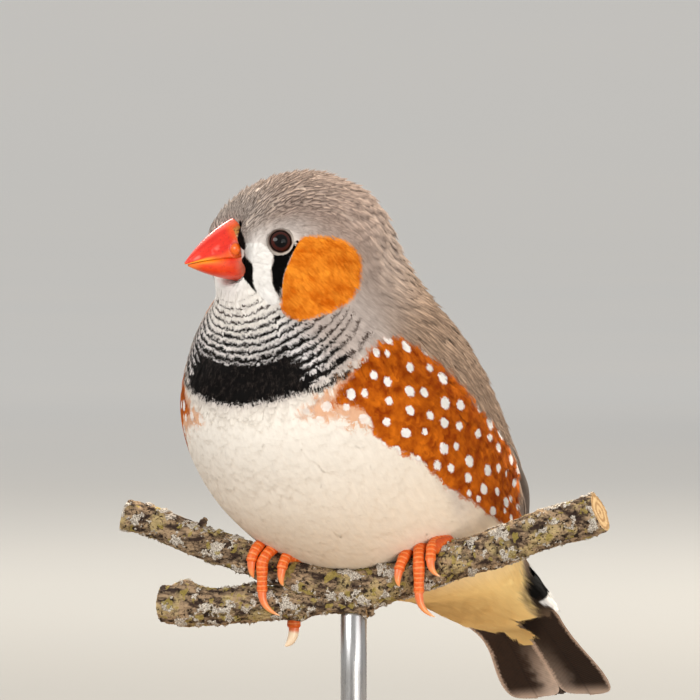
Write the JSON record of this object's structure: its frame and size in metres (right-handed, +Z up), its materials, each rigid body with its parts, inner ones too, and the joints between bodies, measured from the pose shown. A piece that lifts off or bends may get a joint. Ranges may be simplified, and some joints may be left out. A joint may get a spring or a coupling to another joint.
{
  "type": "zebra finch",
  "caption": "Life-size male zebra finch, fluffed up with its head turned, gripping a short cut branch on a round display stand.",
  "frame": {"origin": "centre of the underside of the stand's base, on the floor", "axes": "+Z up, the trunk faces -Y, the bird's left is +X"},
  "size_m": [0.086, 0.095, 0.0973],
  "materials": {
    "plumage_grey": "soft grey-brown feathers",
    "plumage_cream": "soft cream feathers with chestnut flanks and a black breast band",
    "plumage_tail": "dark tail feathers",
    "plumage_wing": "brown wing feathers",
    "bill_red": "smooth red horn",
    "eye": "wet and dark",
    "leg_skin": "orange scaly skin",
    "claw_horn": "pale brown horn",
    "bark": "rough bark with lichen",
    "stand_wood": "satin turned wood",
    "stand_steel": "satin steel"
  },
  "bodies": {
    "root": {"bill_lower": "bill_red", "bill_upper": "bill_red", "claw_left_hind": "claw_horn", "claw_left_inner": "claw_horn", "claw_left_middle": "claw_horn", "claw_left_outer": "claw_horn", "claw_right_hind": "claw_horn", "claw_right_inner": "claw_horn", "claw_right_middle": "claw_horn", "claw_right_outer": "claw_horn", "eye_left": "eye", "eye_right": "eye", "head": "plumage_grey", "neck": "plumage_grey", "perch": "bark", "perch_fork": "bark", "stand_base": "stand_wood", "stand_collar": "stand_steel", "stand_rod": "stand_steel", "tail": "plumage_tail", "tarsus_left": "leg_skin", "tarsus_right": "leg_skin", "toe_left_hind": "leg_skin", "toe_left_inner": "leg_skin", "toe_left_middle": "leg_skin", "toe_left_outer": "leg_skin", "toe_right_hind": "leg_skin", "toe_right_inner": "leg_skin", "toe_right_middle": "leg_skin", "toe_right_outer": "leg_skin", "trunk": "plumage_cream", "wing_left": "plumage_wing", "wing_right": "plumage_wing"}
  },
  "joints": []
}
